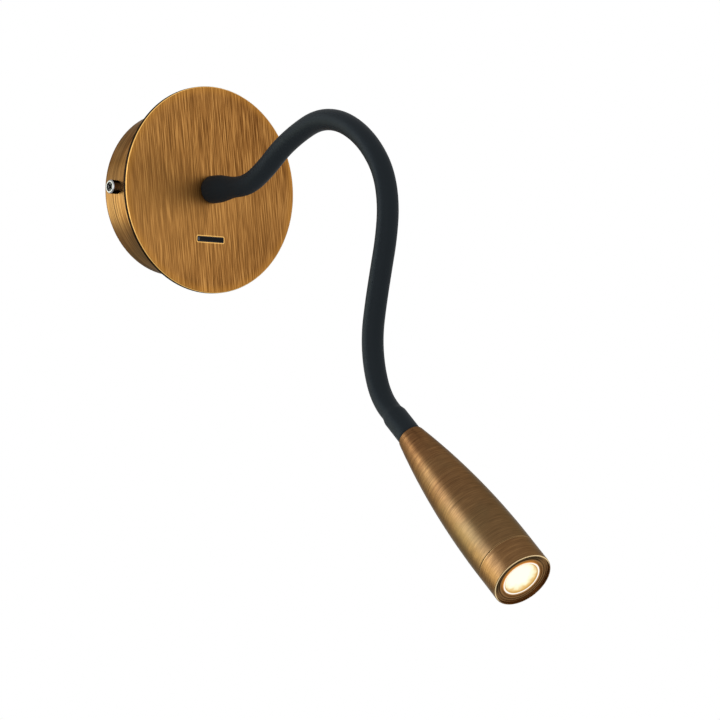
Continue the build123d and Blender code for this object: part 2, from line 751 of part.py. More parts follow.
# Head shell: one long arc from the narrow end to the cylindrical stretch, bored in four steps
with BuildPart() as head_shell:
    with BuildSketch(head_plane):
        with BuildLine():
            TangentArc((taper_length, head_radius), (0, shell_neck_diameter / 2), tangent=(-1, 0))
            Polyline((0, shell_neck_diameter / 2), (0, thread_bore_diameter / 2),
                     (thread_bore_length, thread_bore_diameter / 2),
                     (thread_bore_length, lead_bore_diameter / 2),
                     (lead_bore_end, lead_bore_diameter / 2),
                     (lead_bore_end, mid_bore_diameter / 2), (mid_bore_end, mid_bore_diameter / 2),
                     (mid_bore_end, front_bore_diameter / 2),
                     (shell_length, front_bore_diameter / 2),
                     (shell_length, head_radius - groove_chamfer),
                     (shell_length - groove_chamfer, head_radius), (taper_length, head_radius))
        make_face()
    revolve(axis=turning_axis(head_plane))
    narrow_end = head_shell.edges().group_by(turning_axis(head_plane))[0]
    fillet(narrow_end.sort_by(SortBy.LENGTH)[-1], radius=neck_edge_round)
head_shell.part.label = "head_shell"
export_step(head_shell.part, "parts/head_shell.step")

# Front ring, screwed into the shell, with a lip round its recessed face
heat_sink_end = mid_bore_end + heat_sink_length
ring_bore_radius = ring_bore_diameter / 2
ring_tail_radius = front_bore_diameter / 2 - close_gap
aperture_radius = aperture_diameter / 2
face_level = head_length - rim_recess
lip_level = face_level - aperture_lip
lip_radius = head_radius - rim_lip
groove_step = (lip_radius - aperture_radius) / (face_groove_count + 1)
with BuildPart() as front_ring:
    with BuildSketch(head_plane):
        with BuildLine():
            Polyline((head_length, head_radius - rim_round), (head_length, lip_radius),
                     (face_level, lip_radius), (face_level, aperture_radius),
                     (lip_level, aperture_radius), (lip_level, ring_bore_radius),
                     (heat_sink_end, ring_bore_radius), (heat_sink_end, ring_tail_radius),
                     (shell_length, ring_tail_radius),
                     (shell_length, head_radius - groove_chamfer),
                     (shell_length + groove_chamfer, head_radius),
                     (head_length - rim_round, head_radius))
            RadiusArc((head_length - rim_round, head_radius),
                      (head_length, head_radius - rim_round), rim_round)
        make_face()
        for number in range(face_groove_count):
            with Locations((face_level, aperture_radius + (number + 1) * groove_step)):
                Rectangle(2 * face_groove_depth, face_groove_width, mode=Mode.SUBTRACT)
    revolve(axis=turning_axis(head_plane))
front_ring.part.label = "front_ring"
export_step(front_ring.part, "parts/front_ring.step")

# Lens: a flange behind the ring's lip, and a step with a flat rim round a shallow crown
lens_radius = aperture_radius - close_gap
lens_face = lip_level + lens_step
dish_radius = lens_radius - lens_rim_width
lens_back = lip_level - lens_flange_thickness
crown_top = lens_face - lens_dish + lens_crown
crown_radius = (dish_radius ** 2 + lens_crown ** 2) / (2 * lens_crown)
with BuildPart() as lens:
    with BuildSketch(head_plane):
        with BuildLine():
            JernArc((crown_top, 0), (0, 1), crown_radius, degrees(asin(dish_radius / crown_radius)))
            Polyline((crown_top, 0), (lens_back, 0),
                     (lens_back, ring_bore_radius - close_gap),
                     (lip_level, ring_bore_radius - close_gap), (lip_level, lens_radius),
                     (lens_face, lens_radius), (lens_face, dish_radius),
                     (lens_face - lens_dish, dish_radius))
        make_face()
    revolve(axis=turning_axis(head_plane))
lens.part.label = "lens"
export_step(lens.part, "parts/lens.step")

# Reflector between LED board and lens
led_board_face = heat_sink_end + led_board_thickness
with BuildPart() as reflector:
    with BuildSketch(head_plane):
        with BuildLine():
            Polyline((led_board_face, reflector_throat / 2), (lens_back, reflector_mouth / 2),
                     (lens_back, ring_bore_radius - easy_gap),
                     (lens_back - reflector_flange, ring_bore_radius - easy_gap),
                     (lens_back - reflector_flange, reflector_mouth / 2 + reflector_wall / 2),
                     (led_board_face, reflector_throat / 2 + reflector_wall), close=True)
        make_face()
    revolve(axis=turning_axis(head_plane))
reflector.part.label = "reflector"
export_step(reflector.part, "parts/reflector.step")


def across_head(place):
    """Plane square to the head's axis, facing forwards, this far from the shell's narrow end."""
    origin = head_plane.from_local_coords((place, 0, 0))
    return Plane(origin=origin, x_dir=(1, 0, 0), z_dir=head_plane.x_dir)


# Heat sink, LED board, emitter and the board's screws
with BuildPart() as heat_sink:
    with BuildSketch(across_head(mid_bore_end)):
        Circle(ring_tail_radius)
        Circle(heat_sink_bore / 2, mode=Mode.SUBTRACT)
    extrude(amount=heat_sink_length)
    with BuildSketch(across_head(mid_bore_end + heat_sink_length / 3)):
        Circle(ring_tail_radius)
        Circle(ring_tail_radius - heat_sink_groove, mode=Mode.SUBTRACT)
    extrude(amount=heat_sink_groove, mode=Mode.SUBTRACT)
    with BuildSketch(across_head(heat_sink_end)):
        with GridLocations(board_screw_circle, 0, 2, 1):
            Circle(board_screw_shank / 2 + close_gap)
    extrude(amount=-board_screw_bite - easy_gap, mode=Mode.SUBTRACT)
heat_sink.part.label = "heat_sink"
export_step(heat_sink.part, "parts/heat_sink.step")

with BuildPart() as led_board:
    with BuildSketch(across_head(heat_sink_end)):
        Circle(led_board_diameter / 2)
        with GridLocations(board_screw_circle, 0, 2, 1):
            Circle(board_screw_shank / 2 + easy_gap, mode=Mode.SUBTRACT)
    extrude(amount=led_board_thickness)
led_board.part.label = "led_board"
export_step(led_board.part, "parts/led_board.step")

with BuildPart() as led_emitter:
    with BuildSketch(across_head(led_board_face)):
        Rectangle(emitter_size, emitter_size)
    extrude(amount=emitter_height)
led_emitter.part.label = "led_emitter"
export_step(led_emitter.part, "parts/led_emitter.step")

with BuildPart() as board_screws:
    with BuildSketch(across_head(led_board_face)):
        with GridLocations(board_screw_circle, 0, 2, 1):
            Circle(board_screw_head / 2)
    extrude(amount=board_screw_head_height)
    with BuildSketch(across_head(led_board_face)):
        with GridLocations(board_screw_circle, 0, 2, 1):
            Circle(board_screw_shank / 2)
    extrude(amount=-led_board_thickness - board_screw_bite)
    with BuildSketch(across_head(led_board_face + board_screw_head_height)):
        with GridLocations(board_screw_circle, 0, 2, 1):
            Rectangle(board_screw_shank, cross_width)
            Rectangle(cross_width, board_screw_shank)
    extrude(amount=-board_screw_head_height / 2, mode=Mode.SUBTRACT)
board_screws.part.label = "board_screws"
export_step(board_screws.part, "parts/board_screws.step")

# Lead through the head, up to the back of the LED board
with BuildPart() as head_lead:
    with BuildSketch(head_plane):
        with Locations(((heat_sink_end - head_stub) / 2, lead_radius / 2)):
            Rectangle(heat_sink_end + head_stub, lead_radius)
        with Locations((-head_stub, 0)):
            Circle(sleeve_radius + joint_gap, mode=Mode.SUBTRACT)
    revolve(axis=turning_axis(head_plane))
head_lead.part.label = "head_lead"
export_step(head_lead.part, "parts/head_lead.step")

# What the record needs: pivots with their headings, the head's start and the joint axes
for number, (point, heading) in enumerate(pivots):
    print(f"pivot {number + 1}: depth {point[0]:.3f}, height {point[1]:.3f}, heading {heading:.2f}")
print(f"head starts at depth {head_start[0]:.3f}, height {head_start[1]:.3f}")
clear_turn = 2 * degrees(acos(sleeve_radius / (sleeve_radius + joint_gap)))
print(f"a joint of the neck stays clear up to about {clear_turn:.0f} degrees")
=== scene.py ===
import json
import math

import bpy
from mathutils import Matrix, Vector


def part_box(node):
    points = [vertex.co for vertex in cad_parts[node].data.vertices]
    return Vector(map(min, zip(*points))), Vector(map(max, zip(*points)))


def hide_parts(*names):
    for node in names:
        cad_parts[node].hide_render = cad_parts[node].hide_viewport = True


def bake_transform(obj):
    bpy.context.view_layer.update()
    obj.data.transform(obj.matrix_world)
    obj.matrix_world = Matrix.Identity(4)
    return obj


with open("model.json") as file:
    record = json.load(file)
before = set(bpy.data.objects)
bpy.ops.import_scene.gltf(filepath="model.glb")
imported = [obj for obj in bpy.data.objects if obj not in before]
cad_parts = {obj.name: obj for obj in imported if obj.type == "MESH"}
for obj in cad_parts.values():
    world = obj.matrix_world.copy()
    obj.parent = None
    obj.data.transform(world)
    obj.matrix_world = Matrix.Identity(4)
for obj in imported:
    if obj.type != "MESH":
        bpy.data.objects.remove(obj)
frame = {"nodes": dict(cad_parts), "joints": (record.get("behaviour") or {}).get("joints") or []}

scene = bpy.context.scene
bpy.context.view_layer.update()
nodes = frame["nodes"]
neckBends = [joint for joint in frame["joints"] if joint["name"].startswith("neck_bend")]
print("frame loaded:", len(nodes), "nodes and", len(neckBends), "bends in the neck")

# The wall is the plane Y = 0 and the lamp stands out from it towards -Y. Sizes are in metres.
plateFace = -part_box("front_plate")[0].y
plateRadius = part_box("front_plate")[1].x


# Stands for one output socket, so that sums and products add Math nodes
class Sock:
    def __init__(self, graph, out):
        self.graph = graph
        self.out = out

    def math(self, operation, *values):
        return self.graph.node("ShaderNodeMath", {"operation": operation}, *values)

    def __add__(self, other):
        return self.math("ADD", self, other)

    def __radd__(self, other):
        return self.math("ADD", other, self)

    def __sub__(self, other):
        return self.math("SUBTRACT", self, other)

    def __rsub__(self, other):
        return self.math("SUBTRACT", other, self)

    def __mul__(self, other):
        return self.math("MULTIPLY", self, other)

    def __rmul__(self, other):
        return self.math("MULTIPLY", other, self)

    def __truediv__(self, other):
        return self.math("DIVIDE", self, other)

    def __pow__(self, other):
        return self.math("POWER", self, other)


class Graph:
    def __init__(self, tree):
        self.tree = tree

    def feed(self, socket, value):
        if isinstance(value, Sock):
            self.tree.links.new(value.out, socket)
        elif hasattr(value, "__len__") and len(value) == 3 and socket.type == "RGBA":
            socket.default_value = (*value, 1)
        else:
            socket.default_value = value

    # Settings come first, because some of them change which sockets a node has
    def node(self, kind, settings=None, *values, named=None, out=0):
        made = self.tree.nodes.new(kind)
        for key, value in (settings or {}).items():
            if key == "stops":
                ramp = made.color_ramp.elements
                while len(ramp) < len(value):
                    ramp.new(0.5)
                for element, (place, color) in zip(ramp, value):
                    element.position = place
                    element.color = (*color, 1)
            else:
                setattr(made, key, value)
        for index, value in enumerate(values):
            self.feed(made.inputs[index], value)
        for key, value in (named or {}).items():
            self.feed(made.inputs[key], value)
        return Sock(self, made.outputs[out])

    def blendColors(self, factor, first, second, mode="MIX"):
        made = self.tree.nodes.new("ShaderNodeMix")
        made.data_type = "RGBA"
        made.blend_type = mode
        self.feed(made.inputs[0], factor)
        self.feed(made.inputs[6], first)
        self.feed(made.inputs[7], second)
        return Sock(self, made.outputs[2])

    def smooth(self, value, low, high):
        return self.node("ShaderNodeMapRange", {"interpolation_type": "SMOOTHSTEP"},
                         value, low, high, 0.0, 1.0)

    def noise(self, vector, scale, detail=2.0, roughness=0.55):
        return self.node("ShaderNodeTexNoise", None,
                         named={"Vector": vector, "Scale": scale, "Detail": detail,
                                "Roughness": roughness})

    def stretch(self, vector, scales):
        return self.node("ShaderNodeMapping", {"vector_type": "POINT"}, vector,
                         named={"Scale": scales})


def newFinish(name, constants):
    made = bpy.data.materials.new(name)
    made.use_nodes = True
    graph = Graph(made.node_tree)
    shader = made.node_tree.nodes["Principled BSDF"]
    for socket, value in constants.items():
        graph.feed(shader.inputs[socket], value)
    return made, graph, shader


# Place on a piece, counted from its own centre, with its Z along the piece's axis
def localPlace(graph, centre=(0, 0, 0), tilt=0.0, turn=0.0):
    place = graph.node("ShaderNodeTexCoord", None, out=3)
    return graph.node("ShaderNodeMapping", {"vector_type": "TEXTURE"}, place,
                      named={"Location": centre, "Rotation": (tilt, math.radians(turn), 0)})


def split(graph, vector):
    first = graph.node("ShaderNodeSeparateXYZ", None, vector)
    return [Sock(graph, out) for out in first.out.node.outputs]


# Antique brass: a brown patina over yellow metal, cut through by fine brush lines. The four
# tones run from the deepest brush line to the lightest one.
plateLook = {
    "tones": [(0.125, 0.047, 0.011), (0.212, 0.087, 0.020), (0.325, 0.144, 0.036),
              (0.515, 0.255, 0.070)],
    "edgeHighlight": (1.000, 0.600, 0.180),
    "rimTone": (0.500, 0.225, 0.040),
    "wall": (0.010, 0.006, 0.005),
    "layers": [((900, 1, 24), 0.10), ((1500, 1, 32), 0.28), ((2600, 1, 52), 0.62)],
    "turn": -7.0,
    "contrast": 5.4,
    "bump": 0.22,
    "roughness": 0.46,
    "slotDrop": 0.024,
    "slotHalf": (0.0079, 0.0014),
    "slotCorner": 0.0006,
    "edgeWidth": 0.0005,
    "goldenWall": 0.0004,
    "paleBand": -0.014,
}
drumLook = {
    "tones": [(0.076, 0.031, 0.010), (0.139, 0.062, 0.020), (0.215, 0.104, 0.035),
              (0.357, 0.188, 0.068)],
    "olive": (0.118, 0.084, 0.044),
    "upperShade": (0.050, 0.022, 0.006),
    "upperShadeHeight": (0.004, 0.012),
    "layers": [((10, 10, 420), 0.26), ((24, 24, 1000), 0.42), ((60, 60, 2600), 0.32)],
    "turn": 0.0,
    "contrast": 3.8,
    "bump": 0.30,
    "roughness": 0.34,
    "oliveBelow": -0.012,
}
headLook = {
    "tones": [(0.082, 0.036, 0.014), (0.126, 0.058, 0.023), (0.170, 0.082, 0.032),
              (0.240, 0.126, 0.050)],
    "olive": (0.118, 0.084, 0.038),
    "edgeHighlight": (0.400, 0.250, 0.110),
    "oliveAlong": (0.010, 0.080),
    "layers": [((60, 60, 1400), 0.36), ((140, 140, 3000), 0.64)],
    "turn": 0.0,
    "contrast": 2.2,
    "bump": 0.60,
    "roughness": 0.35,
}

# Front ring: a painted highlight on the lip over its upper half, a turned face with a dark outer band
# of painted shade, deepest on its upper side, a painted shadow round the lens on that side, and a
# painted glow of the lens's light on its inner edge. Its upper side as mounted is the direction
# `upper`.
ringLook = {
    "upper": (-0.78, 0.62),
    "faceStart": 0.0970,
    "lipStart": 0.0984,
    "lipRadii": (0.01340, 0.01375),
    "sideStart": 0.0138,
    "lip": (1.000, 0.760, 0.420),
    "bandRadii": (0.0128, 0.0134),
    "band": (0.056, 0.040, 0.021),
    "gold": (0.165, 0.105, 0.042),
    "lines": 1500.0,
    "lineTones": ((0.120, 0.064, 0.027), (0.460, 0.250, 0.095)),
    "glowRadii": (0.0090, 0.0107),
    "glow": (0.64, 0.24, 0.03),
}


def brushedBrass(name, look, centre=(0, 0, 0), tilt=0.0, dressed=None, glowing=None):
    made, graph, shader = newFinish(name, {"Metallic": 1.0, "Specular Tint": (0.55, 0.54, 0.50)})
    place = localPlace(graph, centre, tilt)
    brushed = localPlace(graph, centre, tilt, look["turn"])
    streaks = 0.0
    for scales, share in look["layers"]:
        streaks = graph.noise(graph.stretch(brushed, scales), 1.0, 2.0, 0.6) * share + streaks
    tone = (streaks - 0.5) * look["contrast"] + 0.5
    tone = tone + (graph.noise(place, 36.0, 3.0, 0.5) - 0.5) * 0.34
    color = graph.node("ShaderNodeValToRGB", {
        "stops": list(zip((0.08, 0.38, 0.62, 0.95), look["tones"]))}, tone)
    if dressed:
        color = dressed(graph, place, color)
    if glowing:
        graph.feed(shader.inputs["Emission Strength"], 1.0)
        graph.feed(shader.inputs["Emission Color"], glowing(graph, place))
    graph.feed(shader.inputs["Base Color"], color)
    graph.feed(shader.inputs["Roughness"], (0.5 - tone) * 0.14 + look["roughness"])
    bump = graph.node("ShaderNodeBump", None, named={
        "Strength": look["bump"], "Distance": 0.00004, "Height": streaks})
    graph.feed(shader.inputs["Normal"], bump)
    return made


# A colour with a fine grain in it, for rubber, plastics and plain metals
def plainFinish(name, color, roughness, metallic=0.0, speckle=0.1, grain=900.0, bump=0.08,
                extra=None):
    made, graph, shader = newFinish(name, {"Metallic": metallic, **(extra or {})})
    place = localPlace(graph)
    fine = graph.noise(place, grain, 3.0, 0.6)
    broad = graph.noise(place, grain / 14, 2.0, 0.5)
    mask = (fine * 0.5 + broad * 0.5 - 0.5) * (2 * speckle) + 0.5
    darker = tuple(value * (1 - speckle) for value in color)
    lighter = tuple(min(1.0, value * (1 + speckle)) for value in color)
    graph.feed(shader.inputs["Base Color"], graph.blendColors(mask, darker, lighter))
    graph.feed(shader.inputs["Roughness"], (broad - 0.5) * 0.12 + roughness)
    height = graph.node("ShaderNodeBump", None, named={
        "Strength": bump, "Distance": 0.00005, "Height": fine})
    graph.feed(shader.inputs["Normal"], height)
    return made


# Shape of the neck: straight out of the plate, then half links of even bend, then the head
neck = {
    "baseStub": 0.022,
    "linkLength": 0.030,
    "headStub": 0.020,
    "halfTurns": [26.8, 9.6, -10.6, -7.5, -22.1, -19.0, -14.9, -15.8,
                  -23.2, -18.5, -8.5, 0.8, 3.3, 16.7, 15.5, 28.4],
    "sleeveRadius": 0.005,
    "sleeveWall": 0.0008,
    "baseSwell": 0.0017,
    "headSwell": 0.0007,
    "coilRadius": 0.0030,
    "wireRadius": 0.00095,
    "coilPitch": 0.0021,
    "leadRadius": 0.0018,
    "endGap": 0.0002,
    "step": 0.001,
    "endStep": 0.0001,
    "firstRoom": 0.010,
    "linkRoom": 0.013,
    "lastRoom": 0.0110,
}
halfLink = neck["linkLength"] / 2


# Depth, height and heading in degrees at this distance along the neck from the plate
def neckPlace(distance):
    depth, height, heading = plateFace, 0.0, 0.0
    left = distance
    run = min(left, neck["baseStub"])
    depth += run
    left -= run
    for turn in neck["halfTurns"]:
        if left <= 0:
            break
        run = min(left, halfLink)
        radius = halfLink / math.radians(turn)
        start = math.radians(heading)
        end = start + run / radius
        depth += radius * (math.sin(end) - math.sin(start))
        height -= radius * (math.cos(end) - math.cos(start))
        heading = math.degrees(end)
        left -= run
    if left > 0:
        depth += left * math.cos(math.radians(heading))
        height += left * math.sin(math.radians(heading))
    return depth, height, heading


def neckPoint(distance):
    depth, height, heading = neckPlace(distance)
    return Vector((0, -depth, height))


linkCount = len(neck["halfTurns"]) // 2
pivotAt = [neck["baseStub"] + neck["linkLength"] * number for number in range(linkCount + 1)]
neckEnd = pivotAt[-1] + neck["headStub"]
headStart = neckPoint(neckEnd)
headHeading = neckPlace(neckEnd)[2]
headAxis = Vector((0, -math.cos(math.radians(headHeading)), math.sin(math.radians(headHeading))))
headTilt = math.radians(90 - headHeading)
shellFront = max((vertex.co - headStart).dot(headAxis) for vertex in nodes["head_shell"].data.vertices)
print("head starts at", [round(value, 4) for value in headStart], "heading", round(headHeading, 1))


# Outside radius of the rubber, swollen over the ferrule at each end
def sleeveGirth(distance):
    def ramp(value, low, high):
        share = min(1.0, max(0.0, (value - low) / (high - low)))
        return share * share * (3 - 2 * share)
    base = neck["baseSwell"] * (1 - ramp(distance, 0.005, 0.020))
    fromHead = neckEnd - distance
    head = neck["headSwell"] * (1 - ramp(fromHead, 0.0145, 0.0180))
    lip = -0.0005 * (1 - ramp(distance, 0.0, 0.0009)) - 0.0003 * (1 - ramp(fromHead, 0.0, 0.0008))
    return neck["sleeveRadius"] + base + head + lip


def pathObject(name, points, girths):
    mesh = bpy.data.meshes.new(name)
    mesh.from_pydata(points, [(i, i + 1) for i in range(len(points) - 1)], [])
    widths = mesh.attributes.new("girth", "FLOAT", "POINT")
    widths.data.foreach_set("value", girths)
    made = bpy.data.objects.new(name, mesh)
    scene.collection.objects.link(made)
    return made


def newTree(name, inputs):
    tree = bpy.data.node_groups.new(name, "GeometryNodeTree")
    tree.interface.new_socket("Geometry", in_out="INPUT", socket_type="NodeSocketGeometry")
    for label, kind, value in inputs:
        socket = tree.interface.new_socket(label, in_out="INPUT", socket_type=kind)
        if value is not None:
            socket.default_value = value
    tree.interface.new_socket("Geometry", in_out="OUTPUT", socket_type="NodeSocketGeometry")
    graph = Graph(tree)
    entry = tree.nodes.new("NodeGroupInput")
    given = {out.name: Sock(graph, out) for out in entry.outputs if out.name}
    return tree, graph, given


def endTree(graph, shape, finish):
    shape = graph.node("GeometryNodeSetShadeSmooth", None, shape)
    shape = graph.node("GeometryNodeRealizeInstances", None, shape)
    shape = graph.node("GeometryNodeSetMaterial", None, shape, named={"Material": finish})
    exitNode = graph.tree.nodes.new("NodeGroupOutput")
    graph.feed(exitNode.inputs[0], shape)


# A round tube along a path, as thick as the path's girth says
def tubeTree():
    tree, graph, given = newTree("tube along the neck", [
        ("Sides", "NodeSocketInt", 48), ("Closed Ends", "NodeSocketBool", False),
        ("Finish", "NodeSocketMaterial", None)])
    path = graph.node("GeometryNodeMeshToCurve", None, given["Geometry"])
    girth = graph.node("GeometryNodeInputNamedAttribute", {"data_type": "FLOAT"},
                       named={"Name": "girth"})
    ring = graph.node("GeometryNodeCurvePrimitiveCircle", None,
                      named={"Resolution": given["Sides"], "Radius": 1.0})
    tube = graph.node("GeometryNodeCurveToMesh", None, path,
                      named={"Profile Curve": ring, "Scale": girth,
                             "Fill Caps": given["Closed Ends"]})
    endTree(graph, tube, given["Finish"])
    return tree


# A wire wound round a path
def coilTree():
    tree, graph, given = newTree("wound core", [
        ("Turn Pitch", "NodeSocketFloat", neck["coilPitch"]),
        ("Coil Radius", "NodeSocketFloat", neck["coilRadius"]),
        ("Wire Radius", "NodeSocketFloat", neck["wireRadius"]),
        ("Steps", "NodeSocketInt", 300), ("Finish", "NodeSocketMaterial", None)])
    path = graph.node("GeometryNodeMeshToCurve", None, given["Geometry"])
    path = graph.node("GeometryNodeResampleCurve", None, path, named={"Count": given["Steps"]})
    along = graph.node("GeometryNodeSplineParameter", None, out=1)
    phase = along * (2 * math.pi) / given["Turn Pitch"]
    tangent = graph.node("GeometryNodeInputTangent")
    upward = graph.node("GeometryNodeInputNormal")
    aside = graph.node("ShaderNodeVectorMath", {"operation": "CROSS_PRODUCT"}, tangent, upward)
    reach = given["Coil Radius"]
    first = graph.node("ShaderNodeVectorMath", {"operation": "SCALE"}, upward,
                       named={"Scale": phase.math("COSINE", phase) * reach})
    second = graph.node("ShaderNodeVectorMath", {"operation": "SCALE"}, aside,
                        named={"Scale": phase.math("SINE", phase) * reach})
    offset = graph.node("ShaderNodeVectorMath", {"operation": "ADD"}, first, second)
    wound = graph.node("GeometryNodeSetPosition", None, path, named={"Offset": offset})
    ring = graph.node("GeometryNodeCurvePrimitiveCircle", None,
                      named={"Resolution": 8, "Radius": given["Wire Radius"]})
    wire = graph.node("GeometryNodeCurveToMesh", None, wound,
                      named={"Profile Curve": ring, "Fill Caps": True})
    endTree(graph, wire, given["Finish"])
    return tree


# Runs a tree on a path object and gives back a plain mesh object of the same name
def grow(source, tree, values, wall=0.0):
    modifier = source.modifiers.new("grow", "NODES")
    modifier.node_group = tree
    for item in tree.interface.items_tree:
        if item.item_type == "SOCKET" and item.in_out == "INPUT" and item.name in values:
            modifier[item.identifier] = values[item.name]
    if wall:
        thicken = source.modifiers.new("wall", "SOLIDIFY")
        thicken.thickness = wall
        thicken.offset = -1
        thicken.use_even_offset = True
    name = source.name
    evaluated = source.evaluated_get(bpy.context.evaluated_depsgraph_get())
    mesh = bpy.data.meshes.new_from_object(evaluated)
    source.modifiers.clear()
    bpy.data.objects.remove(source)
    mesh.name = name
    mesh.set_sharp_from_angle(angle=math.radians(42))
    made = bpy.data.objects.new(name, mesh)
    scene.collection.objects.link(made)
    return made


# Even steps, with one more close to each end, so that two lengths meet at the same slope
def distancesBetween(low, high, step):
    count = max(2, round((high - low) / step))
    even = [low + (high - low) * number / count for number in range(count + 1)]
    return [even[0], even[0] + neck["endStep"]] + even[1:-1] + [even[-1] - neck["endStep"], even[-1]]


# Finishes. Each mask below is 1 on the place that it names and 0 elsewhere.
def between(graph, value, low, high, soft):
    return graph.smooth(value, low - soft, low) * (1 - graph.smooth(value, high, high + soft))


def dressPlate(graph, place, color):
    x, y, z = split(graph, place)
    reach = (x * x + z * z) ** 0.5
    band = 1 - graph.smooth((z - plateLook["paleBand"]).math("ABSOLUTE", z - plateLook["paleBand"]),
                            0.0, 0.040)
    # Painted light: the plate lighter towards its left side and darker towards its right
    paintedLightLeft = 1 - graph.smooth(x, -0.045, 0.030)
    color = graph.blendColors(band * 0.22 + paintedLightLeft * 0.20, color, plateLook["tones"][3])
    color = graph.blendColors(graph.smooth(x, 0.0, 0.040) * 0.22, color, plateLook["tones"][0])
    color = graph.blendColors(graph.smooth(reach, plateRadius - 0.005, plateRadius) * 0.45, color,
                              plateLook["rimTone"])
    aside, above = plateLook["slotHalf"]
    corner = plateLook["slotCorner"]
    pastX = x.math("ABSOLUTE", x) - (aside - corner)
    pastZ = z.math("ABSOLUTE", z + plateLook["slotDrop"]) - (above - corner)
    pastX = pastX.math("MAXIMUM", pastX, 0.0)
    pastZ = pastZ.math("MAXIMUM", pastZ, 0.0)
    slotEdge = 1 - graph.smooth((pastX * pastX + pastZ * pastZ) ** 0.5 - corner, 0.0002, 0.0006)
    # Painted highlight: a bright golden line along the plate's rim and the front of its side wall, and
    # a fainter one round the switch slot
    rim = graph.smooth(reach, plateRadius - plateLook["edgeWidth"],
                       plateRadius - plateLook["edgeWidth"] + 0.0002)
    paintedShine = rim.math("MAXIMUM", rim, slotEdge * 0.8)
    color = graph.blendColors(paintedShine, color, plateLook["edgeHighlight"])
    # Painted shade: the rear part of the plate's side wall, behind its golden front part, is nearly
    # black
    wall = graph.smooth(reach, plateRadius - 0.0002, plateRadius - 0.0001)
    behind = graph.smooth(y, -plateFace + plateLook["goldenWall"] - 0.0001,
                          -plateFace + plateLook["goldenWall"])
    return graph.blendColors(wall * behind, color, plateLook["wall"])


def dressDrum(graph, place, color):
    x, y, z = split(graph, place)
    low = 1 - graph.smooth(y, drumLook["oliveBelow"] - 0.022, drumLook["oliveBelow"])
    patch = graph.smooth(graph.noise(place, 55.0, 3.0, 0.55), 0.44, 0.60)
    color = graph.blendColors(low * 0.32 + patch * 0.22, color, drumLook["olive"])
    # Painted shade: a darker band just above the middle of the drum
    upperShade = between(graph, y, *drumLook["upperShadeHeight"], 0.007)
    return graph.blendColors(upperShade * 0.62, color, drumLook["upperShade"])


# Painted highlights: bright lines on the edges along the fine split between the head's shell and its
# front ring
def splitHighlight(graph, z, reach):
    behind = between(graph, z, shellFront - 0.00024, shellFront, 0.00006)
    ahead = between(graph, z, shellFront + 0.00030, shellFront + 0.00046, 0.00006)
    outside = graph.smooth(reach, ringLook["sideStart"], ringLook["sideStart"] + 0.0001)
    return behind.math("MAXIMUM", behind, ahead) * outside * 0.6


def dressHead(graph, place, color):
    x, y, z = split(graph, place)
    patch = graph.smooth(graph.noise(place, 32.0, 3.0, 0.55), 0.42, 0.62)
    forward = graph.smooth(z, *headLook["oliveAlong"])
    color = graph.blendColors(forward * 0.40 + patch * 0.22, color, headLook["olive"])
    reach = (x * x + y * y) ** 0.5
    return graph.blendColors(splitHighlight(graph, z, reach), color, headLook["edgeHighlight"])


# How far towards the ring's upper side, in metres
def towardsUpper(x, y):
    upperX, upperY = ringLook["upper"]
    return x * upperX + y * upperY


def dressRing(graph, place, color):
    x, y, z = split(graph, place)
    reach = (x * x + y * y) ** 0.5
    color = graph.blendColors(0.22, color, ringLook["gold"])
    color = graph.blendColors(splitHighlight(graph, z, reach), color, headLook["edgeHighlight"])
    onFace = (graph.smooth(z, ringLook["faceStart"], ringLook["faceStart"] + 0.0002)
              * (1 - graph.smooth(reach, ringLook["sideStart"], ringLook["sideStart"] + 0.0001)))
    rings = graph.node("ShaderNodeTexNoise", {"noise_dimensions": "1D"}, named={
        "W": reach, "Scale": ringLook["lines"], "Detail": 2.0})
    turned = graph.blendColors(graph.smooth(rings, 0.30, 0.72), *ringLook["lineTones"])
    color = graph.blendColors(onFace * 0.75, color, turned)
    # Painted shade: a dark outer band, strongest on the upper side, and a painted shadow round the
    # lens on that side
    above = graph.smooth(towardsUpper(x, y), -0.0045, 0.0015)
    outer = graph.smooth(reach, *ringLook["bandRadii"]) * (above * 0.50 + 0.25)
    color = graph.blendColors(onFace * outer, color, ringLook["band"])
    shadow = graph.smooth(towardsUpper(x, y), 0.0, 0.006) * graph.smooth(reach, 0.0106, 0.0112)
    color = graph.blendColors(onFace * shadow * 0.8, color, ringLook["band"])
    # Painted highlight on the upper half of the lip
    onLip = (graph.smooth(z, ringLook["lipStart"], ringLook["lipStart"] + 0.0002)
             * between(graph, reach, *ringLook["lipRadii"], 0.0001))
    return graph.blendColors(onLip * above, color, ringLook["lip"])


# Painted light: the ring's face near the lens glows amber, as if lit by the lens, mostly on its upper
# side
def ringGlow(graph, place):
    x, y, z = split(graph, place)
    reach = (x * x + y * y) ** 0.5
    near = 1 - graph.smooth(reach, *ringLook["glowRadii"])
    onFace = graph.smooth(z, ringLook["faceStart"], ringLook["faceStart"] + 0.0002)
    side = graph.smooth(towardsUpper(x, y), -0.001, 0.0075) * 0.90 + 0.10
    return graph.blendColors(near * side * onFace, (0.0, 0.0, 0.0), ringLook["glow"])


plateBrass = brushedBrass("plateBrass", plateLook, dressed=dressPlate)
drumBrass = brushedBrass("drumBrass", drumLook, tilt=math.radians(90), dressed=dressDrum)
headBrass = brushedBrass("headBrass", headLook, headStart, headTilt, dressed=dressHead)
ringBrass = brushedBrass("ringBrass", headLook, headStart, headTilt, dressed=dressRing,
                         glowing=ringGlow)

# Side screws: a bright rim round a recess darkened with painted shade, and a side painted dark as a
# reflection above and below its bright middle
screwLook = {
    "depth": 0.0095,
    "rimInside": 0.0024,
    "floor": 0.04345,
    "bright": (0.36, 0.36, 0.37),
    "recessShade": (0.055, 0.052, 0.055),
    "darkReflection": (0.020, 0.016, 0.015),
    "band": 0.0013,
}


